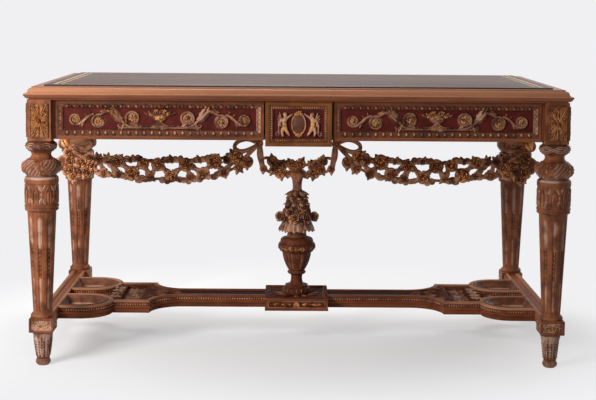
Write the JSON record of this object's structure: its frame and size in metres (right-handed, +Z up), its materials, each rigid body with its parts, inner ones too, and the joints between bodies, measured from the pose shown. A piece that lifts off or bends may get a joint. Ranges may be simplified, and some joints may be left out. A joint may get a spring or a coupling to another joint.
{
  "type": "writing desk",
  "caption": "Carved walnut writing desk with a leather top, sliding frieze drawers, turned fluted legs, a hanging flower garland and a ringed stretcher that carries an urn.",
  "frame": {"origin": "on the floor under the middle of the top", "axes": "+X along the desk's length to the sitter's right, -Y towards the sitter and the drawer fronts, +Z up"},
  "size_m": [1.5582, 0.786, 0.8],
  "materials": {
    "walnut": "waxed walnut, satin",
    "carved_walnut": "carved walnut with pale wax in the hollows and rubbed gilding on the flowers",
    "gilding": "rubbed gilding on carved wood",
    "lining": "plain planed oak",
    "leather": "dark brown writing leather with a tooled line"
  },
  "bodies": {
    "desk": {"top_panel": "walnut", "top_edge_front": "walnut", "top_edge_back": "walnut", "top_edge_left": "walnut", "top_edge_right": "walnut", "leg_front_left": "walnut", "leg_front_right": "walnut", "leg_back_left": "walnut", "leg_back_right": "walnut", "apron_left": "walnut", "apron_right": "walnut", "apron_back": "walnut", "stretcher_rail_left": "walnut", "stretcher_rail_right": "walnut", "stretcher_bar_left": "walnut", "stretcher_bar_right": "walnut", "stretcher_ring_left_front": "walnut", "stretcher_ring_left_back": "walnut", "stretcher_ring_right_front": "walnut", "stretcher_ring_right_back": "walnut", "stretcher_carving_left": "walnut", "stretcher_carving_right": "walnut", "plinth": "walnut", "urn": "walnut", "bouquet": "carved_walnut", "garland_centre": "carved_walnut", "garland_swag_left": "carved_walnut", "garland_swag_right": "carved_walnut", "garland_end_left": "carved_walnut", "garland_end_right": "carved_walnut", "corner_plaques": "gilding", "front_upper_rail": "lining", "front_lower_rail": "lining", "divider_left": "lining", "divider_right": "lining", "runners_left": "lining", "runners_centre": "lining", "runners_right": "lining", "garland_rail": "lining", "glue_blocks": "lining", "leather_top": "leather"},
    "drawer_left": {"drawer_left_front": "walnut", "drawer_left_carving": "gilding", "drawer_left_side_left": "lining", "drawer_left_side_right": "lining", "drawer_left_back": "lining", "drawer_left_floor": "lining"},
    "drawer_centre": {"drawer_centre_front": "walnut", "drawer_centre_carving": "gilding", "drawer_centre_side_left": "lining", "drawer_centre_side_right": "lining", "drawer_centre_back": "lining", "drawer_centre_floor": "lining"},
    "drawer_right": {"drawer_right_front": "walnut", "drawer_right_carving": "gilding", "drawer_right_side_left": "lining", "drawer_right_side_right": "lining", "drawer_right_back": "lining", "drawer_right_floor": "lining"}
  },
  "joints": [
    {"name": "drawer_left_slide", "type": "slide", "parent": "desk", "child": "drawer_left", "axis": [0, -1, 0], "range_m": [0, 0.36]},
    {"name": "drawer_centre_slide", "type": "slide", "parent": "desk", "child": "drawer_centre", "axis": [0, -1, 0], "range_m": [0, 0.36]},
    {"name": "drawer_right_slide", "type": "slide", "parent": "desk", "child": "drawer_right", "axis": [0, -1, 0], "range_m": [0, 0.36]}
  ]
}
